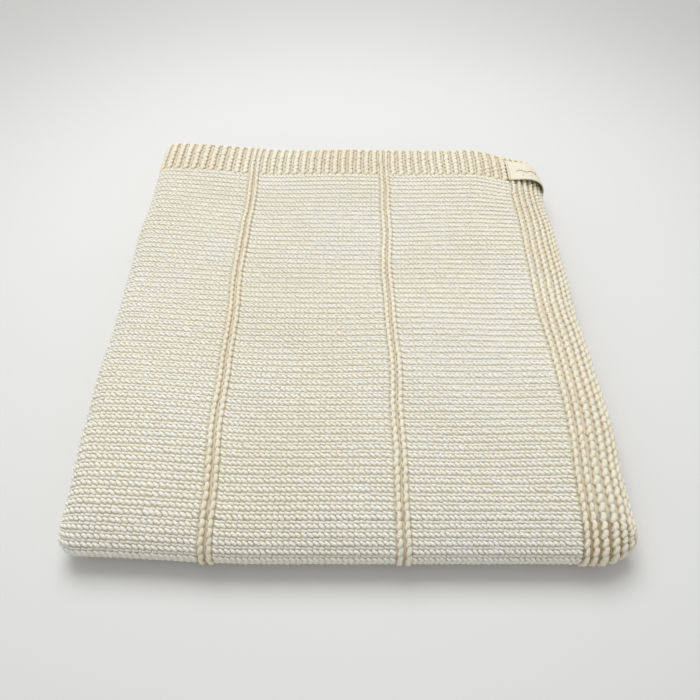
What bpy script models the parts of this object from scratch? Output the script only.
# Folded throw blanket: one knitted cotton cloth, folded in thirds and then in half.
# Every length is in metres. X runs left to right, the round front fold faces -Y, +Z is up.
# The cloth lies on the floor at z = 0, with the origin at the middle of its underside.
import math

import bmesh
import bpy
from mathutils import Vector

# ---- driving dimensions -------------------------------------------------------------
DEPTH = 0.400          # front fold to back edge
CREST = 0.042          # height of the top, which is highest behind the front fold
CREST_AT = 0.100       # how far behind the front fold that is
MID = 0.0169           # height of the plane where the two halves meet
NOSE = 0.020           # how far back the front fold reaches
LEFT_X = -0.158        # where the left folds begin
LEFT_OUT = 0.0125      # how far they stand out
RIGHT_X = 0.1475       # where the right folds, under the end border, begin
RIGHT_OUT = 0.0125
BORDER_X = 0.1425      # inner edge of the end border
BORDER_W = 0.0336      # width of the end border along the cloth
STRAIGHT = 0.008       # of which this much lies flat, the rest drooping
OVER = 0.0016          # and this much at the very end is straight again
DROOP = 0.0134         # how far the free end of the border hangs below its inner edge
RIDGES = 7             # garter ridges across the end border
PAIR_W = 0.0100        # width of a pair of garter ridges
PAIRS_X = (-0.0870, 0.0305)  # middle of each pair on the outer leaves
SIDE_W = 0.045         # depth of the side border along the back
WALE = 0.0056          # one column of stitches of the smooth knitting
SIDE_RIDGE = 0.0070    # one ridge of the side border, which is two rows
GAP = 0.0003           # between neighbouring pieces
FULL = 0.020           # height of a half in the flat sections that the pieces start from
RIB = 0.00055          # depth of the groove between two columns of stitches
LOBE = 0.0011          # depth of the groove between two garter ridges
LABEL_W = 0.030        # width of the ribbon
LABEL_BACK = 0.0165    # ribbon to back edge
LABEL_T = 0.0009       # thickness of the ribbon
THREAD = 0.0009        # thickness of the sewing thread

FRONT_Y = -DEPTH / 2
NOSE_Y = FRONT_Y + NOSE
THIRD = FULL / 3

COLOURS = {
    "cotton_stockinette": (0.787, 0.760, 0.630),
    "cotton_garter": (0.760, 0.720, 0.570),
    "label_cotton_tape": (0.860, 0.830, 0.740),
    "label_sewing_thread": (0.800, 0.770, 0.670),
}


# ---- scene ---------------------------------------------------------------------------
for ob in list(bpy.data.objects):
    bpy.data.objects.remove(ob, do_unlink=True)
blanket = bpy.data.collections.new("folded_throw_blanket")
bpy.context.scene.collection.children.link(blanket)


def material(name):
    mat = bpy.data.materials.get(name)
    if mat is None:
        mat = bpy.data.materials.new(name)
        mat.use_nodes = True
        p = mat.node_tree.nodes["Principled BSDF"]
        p.inputs["Base Color"].default_value = (*COLOURS[name], 1)
        p.inputs["Roughness"].default_value = 0.9
        mat.diffuse_color = (*COLOURS[name], 1)
    return mat


# ---- the shape of the folded cloth ---------------------------------------------------
def top_height(s):
    """Height of the top at s behind the front fold: a round nose, a crest and a dip."""
    if s < CREST_AT:
        return MID + (CREST - MID) * math.sqrt(max(0.0, 1 - (1 - s / CREST_AT) ** 2))
    knots = ((CREST_AT, CREST), (0.400 * DEPTH, CREST - 0.0020), (0.575 * DEPTH, CREST - 0.0058),
             (0.750 * DEPTH, CREST - 0.0068), (0.875 * DEPTH, CREST - 0.0052),
             (0.945 * DEPTH, CREST - 0.0054), (0.980 * DEPTH, CREST - 0.0075),
             (DEPTH, CREST - 0.0110))
    for (s0, z0), (s1, z1) in zip(knots, knots[1:]):
        if s <= s1 + 1e-9:
            w = (s - s0) / (s1 - s0)
            return z0 + (z1 - z0) * w * w * (3 - 2 * w)
    return knots[-1][1]


def nose_reach(turn):
    """From the middle of the front fold to its outer face; turn is -90 to 90 degrees."""
    s = NOSE * (1 - math.cos(turn))
    up = top_height(s) - MID if turn > 0 else MID * math.sin(turn)
    return NOSE - s, up


def fold_upper(x, t, z, rib):
    height = top_height(t) - MID
    outer = rib if z > FULL - 1e-4 else 0
    return x, FRONT_Y + t, MID + height * z / FULL - outer


def fold_lower(x, t, z, rib):
    return x, FRONT_Y + t, MID - MID * z / FULL


def fold_front(x, t, z, rib):
    back, up = nose_reach(t)
    size = math.hypot(back, up)
    k = z / FULL - (rib / size if z > FULL - 1e-4 else 0)
    if t < 0 and k > 1:
        k = 1 + (k - 1) * math.cos(t)  # pressed flat on the floor
    return x, NOSE_Y - GAP - k * back, MID + k * up


# ---- sections: x across, z from 0 where the halves meet to FULL on the outer face -----
def slab(x0, x1, z0, z1):
    return [(x0, z0), (x1, z0), (x1, z1), (x0, z1)]


def lobed(x0, x1, z0, z1, count):
    """A slab whose outer face is a row of count round ridges."""
    pitch = (x1 - x0) / count
    outer = []
    for i in range(count):
        for at, drop in ((0.0, 1.0), (0.2, 0.25), (0.5, 0.0), (0.8, 0.25)):
            outer.append((x0 + (i + at) * pitch, z1 - LOBE * drop))
    outer.append((x1, z1 - LOBE))
    return [(x0, z0), (x1, z0)] + outer[::-1]


def fold_c(x0, out, z0, z1, leaf, side, steps=9):
    """A C that joins two leaves of the given thickness round what lies between them."""
    mid, half = (z0 + z1) / 2, (z1 - z0) / 2
    inner = half - leaf
    hole = max(out * inner / half, 0.004)
    ring = []
    for i in range(steps + 1):
        a = math.pi / 2 - math.pi * i / steps
        ring.append((x0 + side * out * math.cos(a), mid + half * math.sin(a)))
    for i in range(steps + 1):
        a = -math.pi / 2 + math.pi * i / steps
        ring.append((x0 + side * hole * math.cos(a), mid + inner * math.sin(a)))
    return ring if side < 0 else ring[::-1]


def droop_angle(bend, over, drop):
    """How far the free end turns down, so that it always ends at the same height."""
    low, high = 0.1, math.pi / 2
    for _ in range(40):
        a = (low + high) / 2
        if bend / a * (1 - math.cos(a)) + over * math.sin(a) < drop:
            low = a
        else:
            high = a
    return low


BEND = BORDER_W - STRAIGHT - OVER
DROOP_ANGLE = droop_angle(BEND, OVER, DROOP)


def border_line(u, inwards=0.0):
    """A point of the end border, u from its inner edge, as its free end droops."""
    straight, bend, most = STRAIGHT, BEND, DROOP_ANGLE
    x, z, a = BORDER_X + min(u, straight), FULL + 0.0004, 0.0
    if u > straight:
        a = most * min(1.0, (u - straight) / bend)
        r = bend / most
        x += r * math.sin(a)
        z -= r * (1 - math.cos(a))
        over = max(0.0, u - straight - bend)
        x += over * math.cos(most)
        z -= over * math.sin(most)
    return x - inwards * math.sin(a), z - inwards * math.cos(a)


def border_section():
    pitch = BORDER_W / RIDGES
    outer, inner = [], []
    for i in range(RIDGES):
        for at, drop in ((0.0, 1.0), (0.2, 0.25), (0.5, 0.0), (0.8, 0.25)):
            outer.append(border_line((i + at) * pitch, LOBE * drop))
    outer[0] = (BORDER_X, outer[0][1])
    outer.append(border_line(BORDER_W - 0.0002, LOBE * 1.2))
    for i in range(13):
        u = (BORDER_W - 0.0004) * (1 - i / 12)
        thick = 0.0046 + 0.0021 * max(0.0, 1 - u / 0.014)
        if i == 0:
            thick -= 0.0012
        inner.append(border_line(u, thick))
    return outer + inner


# ---- building a piece ------------------------------------------------------------------
def piece(name, section, fold, stations, mat, ribs=None, round_end=False):
    """Extrude a section along the cloth, cut it at every station and fold it."""
    t0, t1 = stations[0], stations[-1]
    bm = bmesh.new()
    face = bm.faces.new([bm.verts.new((x, t0, z)) for x, z in section])
    grown = bmesh.ops.extrude_face_region(bm, geom=[face])["geom"]
    moved = [g for g in grown if isinstance(g, bmesh.types.BMVert)]
    bmesh.ops.translate(bm, verts=moved, vec=(0, t1 - t0, 0))
    for t in stations[1:-1]:
        bmesh.ops.bisect_plane(bm, geom=bm.verts[:] + bm.edges[:] + bm.faces[:],
                               plane_co=(0, t, 0), plane_no=(0, 1, 0), dist=1e-7)
    middle = (min(z for _, z in section) + max(z for _, z in section)) / 2
    for v in bm.verts:
        x, t, z = v.co
        if round_end and t > t1 - 0.0026:
            away = (t - (t1 - 0.0026)) / 0.0026
            z = middle + (z - middle) * (1 - 0.45 * away * away)
            v.co = fold(x, t, z, 0)
        else:
            v.co = fold(x, t, z, ribs(t) if ribs else 0)
    return finish(name, bm, mat)


def finish(name, bm, mat, smooth=True):
    bmesh.ops.recalc_face_normals(bm, faces=bm.faces[:])
    if bm.calc_volume(signed=True) < 0:
        bmesh.ops.reverse_faces(bm, faces=bm.faces[:])
    me = bpy.data.meshes.new(name)
    bm.to_mesh(me)
    bm.free()
    me.materials.append(material(mat))
    for p in me.polygons:
        p.use_smooth = smooth and len(p.vertices) == 4
    ob = bpy.data.objects.new(name, me)
    blanket.objects.link(ob)
    return ob


def spread(t0, t1, step):
    n = max(1, round((t1 - t0) / step))
    return [t0 + (t1 - t0) * i / n for i in range(n + 1)]


# Stations along the upper half: close together where the top bends.
FIELD_END = DEPTH - SIDE_W - GAP
PLAIN = spread(NOSE, FIELD_END, 0.0112)
ENDING = spread(DEPTH - SIDE_W, DEPTH - 0.016, 0.006) + [
    DEPTH - back for back in (0.012, 0.009, 0.0065, 0.004, 0.0026, 0.0012, 0.0004, 0.0)]
ROUND = [math.radians(-90 + 15 * i) for i in range(13)]
WALES = [NOSE + WALE / 2 * i for i in range(int((FIELD_END - NOSE) / WALE * 2))] + [FIELD_END]
TURN_WALES = [math.radians(-90 + 180 * i / 18) for i in range(19)]


def wale_rib(t):
    return RIB if round((t - NOSE) / (WALE / 2)) % 2 == 0 else 0


def turn_rib(t):
    return RIB if round((math.degrees(t) + 90) / 10) % 2 == 0 else 0


def shorter(stations, by):
    """The same run of cloth ending short of the back edge, as the inner leaves do."""
    return [t for t in stations if t < DEPTH - by + 1e-6]


# ---- outer leaf: panels, ridge pairs and end border, on top, round the front, below -----
pair_l, pair_r = ((x - PAIR_W / 2, x + PAIR_W / 2) for x in PAIRS_X)
columns = {
    "panel_left": (LEFT_X + GAP, pair_l[0] - GAP),
    "ridge_pair_left": pair_l,
    "panel_middle": (pair_l[1] + GAP, pair_r[0] - GAP),
    "ridge_pair_right": pair_r,
    "panel_right": (pair_r[1] + GAP, BORDER_X - GAP),
}
LEAF_Z = 2 * THIRD + GAP / 2
for column, (x0, x1) in columns.items():
    if column.startswith("panel"):
        flat = slab(x0, x1, LEAF_Z, FULL)
        piece("top_" + column, flat, fold_upper, WALES, "cotton_stockinette", wale_rib)
        piece("front_" + column, flat, fold_front, TURN_WALES, "cotton_stockinette", turn_rib)
        piece("bottom_" + column, flat, fold_lower, [NOSE, FIELD_END], "cotton_stockinette")
    else:
        ridges = lobed(x0, x1, LEAF_Z, FULL + 0.0009, 2)
        piece("top_" + column, ridges, fold_upper, PLAIN, "cotton_garter")
        piece("front_" + column, ridges, fold_front, ROUND, "cotton_garter")
        flat = slab(x0, x1, LEAF_Z, FULL)
        piece("bottom_" + column, flat, fold_lower, [NOSE, FIELD_END], "cotton_garter")

end_border = border_section()
piece("top_end_border", end_border, fold_upper, PLAIN[:-1] + ENDING, "cotton_garter",
      round_end=False)
piece("front_end_border", end_border, fold_front, ROUND, "cotton_garter")
flat_border = [(x, FULL) for x, z in (border_line(0), border_line(0.010))]
flat_border += [border_line(0.010 + 0.0033 * i, 0.0004) for i in range(1, 8)]
flat_border = [(x, min(z, FULL)) for x, z in flat_border]
flat_border += [border_line((BORDER_W - 0.0008) * (1 - i / 8), 0.0044 +
                0.0023 * max(0.0, 1 - (1 - i / 8) * BORDER_W / 0.014)) for i in range(9)]
piece("bottom_end_border", flat_border, fold_lower, [NOSE, DEPTH - 0.002], "cotton_garter")

count = round((BORDER_X - GAP - LEFT_X) / SIDE_RIDGE)
side = lobed(LEFT_X + GAP, BORDER_X - GAP, LEAF_Z, FULL + 0.0006, count)
piece("top_side_border", side, fold_upper, ENDING, "cotton_garter", round_end=True)
piece("bottom_side_border", slab(LEFT_X + GAP, BORDER_X - GAP, LEAF_Z, FULL), fold_lower,
      [DEPTH - SIDE_W, DEPTH - 0.001], "cotton_garter")

# ---- left folds: the outer leaf turns under to become the inner leaf ---------------------
left = fold_c(LEFT_X, LEFT_OUT, GAP / 2, FULL, THIRD, -1)
piece("upper_left_fold", left, fold_upper, PLAIN[:-1] + shorter(ENDING, 0.0012),
      "cotton_stockinette")
piece("lower_left_fold", left, fold_lower, [NOSE, DEPTH - 0.001], "cotton_stockinette")
left_front = fold_c(LEFT_X, LEFT_OUT, 0.0012, FULL, THIRD - 0.0010, -1)
piece("front_left_corner", left_front, fold_front, ROUND, "cotton_stockinette")

# ---- tucked leaf, whose free end lies inside the left folds ------------------------------
TUCK_Z = (THIRD + GAP / 2, 2 * THIRD - GAP / 2)
tuck_end = LEFT_X + 0.034
for half, fold, runs in (("upper", fold_upper, PLAIN), ("lower", fold_lower, [NOSE, FIELD_END])):
    piece(half + "_tucked_leaf", slab(tuck_end + GAP, RIGHT_X - GAP, *TUCK_Z), fold, runs,
          "cotton_stockinette")
    back = shorter(ENDING, 0.004) if half == "upper" else [DEPTH - SIDE_W, DEPTH - 0.004]
    piece(half + "_tucked_side_border", slab(tuck_end + GAP, RIGHT_X - GAP, *TUCK_Z), fold,
          back, "cotton_garter", round_end=half == "upper")
    both = runs[:-1] + back[1:]
    piece(half + "_tucked_end_border", slab(LEFT_X + 0.0006, tuck_end, *TUCK_Z), fold,
          both, "cotton_garter", round_end=half == "upper")
piece("front_tucked_fold", slab(tuck_end + GAP, RIGHT_X - GAP, *TUCK_Z), fold_front, ROUND,
      "cotton_stockinette")
piece("front_tucked_end_border", slab(LEFT_X + 0.0006, tuck_end, *TUCK_Z), fold_front, ROUND,
      "cotton_garter")

# ---- inner leaf, where the two halves meet -----------------------------------------------
INNER_Z = (GAP / 2, THIRD - GAP / 2)
for half, fold, runs in (("upper", fold_upper, PLAIN), ("lower", fold_lower, [NOSE, FIELD_END])):
    piece(half + "_inner_leaf", slab(LEFT_X + GAP, RIGHT_X - GAP, *INNER_Z), fold, runs,
          "cotton_stockinette")
    back = shorter(ENDING, 0.0026) if half == "upper" else [DEPTH - SIDE_W, DEPTH - 0.003]
    piece(half + "_inner_side_border", slab(LEFT_X + GAP, RIGHT_X - GAP, *INNER_Z), fold,
          back, "cotton_garter", round_end=half == "upper")
piece("front_inner_fold", slab(LEFT_X + GAP, RIGHT_X - GAP, 0.0012, INNER_Z[1]), fold_front,
      ROUND, "cotton_stockinette")

# ---- right folds: the inner leaf turns back to become the tucked leaf --------------------
right = fold_c(RIGHT_X, RIGHT_OUT, GAP / 2, 2 * THIRD - GAP / 2, THIRD - 0.0003, 1)
piece("upper_right_fold", right, fold_upper, PLAIN[:-1] + shorter(ENDING, 0.0026),
      "cotton_stockinette")
piece("lower_right_fold", right, fold_lower, [NOSE, DEPTH - 0.003], "cotton_stockinette")
right_front = fold_c(RIGHT_X, RIGHT_OUT, 0.0012, 2 * THIRD - GAP / 2, THIRD - 0.0010, 1)
piece("front_right_corner", right_front, fold_front, ROUND, "cotton_stockinette")

# ---- ribbon label, folded over the free end of the top leaf ------------------------------
def ribbon_path():
    """Over the end border from its inner edge, round its free end and back underneath."""
    over, under = 0.0011, 0.0046
    path = [border_line(0, -over)]
    path[0] = (BORDER_X - 0.0012, path[0][1])
    path += [border_line(0.004 + 0.00295 * i, -over) for i in range(11)]
    centre = border_line(BORDER_W + 0.0002, (under - over) / 2 + 0.0004)
    first = border_line(BORDER_W + 0.0002, -over)
    radius = math.dist(centre, first)
    start = math.atan2(first[1] - centre[1], first[0] - centre[0])
    for i in range(1, 8):
        a = start - math.pi * i / 8
        path.append((centre[0] + radius * math.cos(a), centre[1] + radius * math.sin(a)))
    path += [border_line(BORDER_W - 0.0016 - 0.003 * i, under + over) for i in range(4)]
    return path


def ribbon():
    path = ribbon_path()
    sides = []
    for i, (x, z) in enumerate(path):
        a, b = path[max(0, i - 1)], path[min(len(path) - 1, i + 1)]
        d = Vector((b[0] - a[0], b[1] - a[1])).normalized()
        sides.append(((x - d.y * LABEL_T / 2, z + d.x * LABEL_T / 2),
                      (x + d.y * LABEL_T / 2, z - d.x * LABEL_T / 2)))
    section = [s[0] for s in sides] + [s[1] for s in sides[::-1]]
    t0, t1 = DEPTH - LABEL_BACK - LABEL_W, DEPTH - LABEL_BACK
    return piece("label_ribbon", section, fold_upper, spread(t0, t1, 0.006),
                 "label_cotton_tape")


ribbon()


def stitching(name, x, lift):
    """A running stitch: one thread that rises and falls along the ribbon's inner end."""
    t0, t1 = DEPTH - LABEL_BACK - LABEL_W + 0.002, DEPTH - LABEL_BACK - 0.002
    bm = bmesh.new()
    steps, rings = 36, []
    for i in range(steps + 1):
        t = t0 + (t1 - t0) * i / steps
        rise = lift + 0.0003 * (1 - math.cos(2 * math.pi * i / 4)) / 2
        centre = Vector(fold_upper(x, t, FULL + rise, 0))
        ring = [bm.verts.new(centre + Vector((math.cos(a), 0, math.sin(a))) * THREAD / 2)
                for a in (math.tau * k / 8 for k in range(8))]
        rings.append(ring)
    for a, b in zip(rings, rings[1:]):
        edges = [bm.edges.get((r[k - 1], r[k])) or bm.edges.new((r[k - 1], r[k]))
                 for r in (a, b) for k in range(8)]
        bmesh.ops.bridge_loops(bm, edges=edges)
    bmesh.ops.contextual_create(bm, geom=rings[0])
    bmesh.ops.contextual_create(bm, geom=rings[-1])
    return finish(name, bm, "label_sewing_thread")


stitching("label_stitching", BORDER_X + 0.0012, 0.0004 + 0.0011 + LABEL_T / 2 + GAP + THREAD / 2)
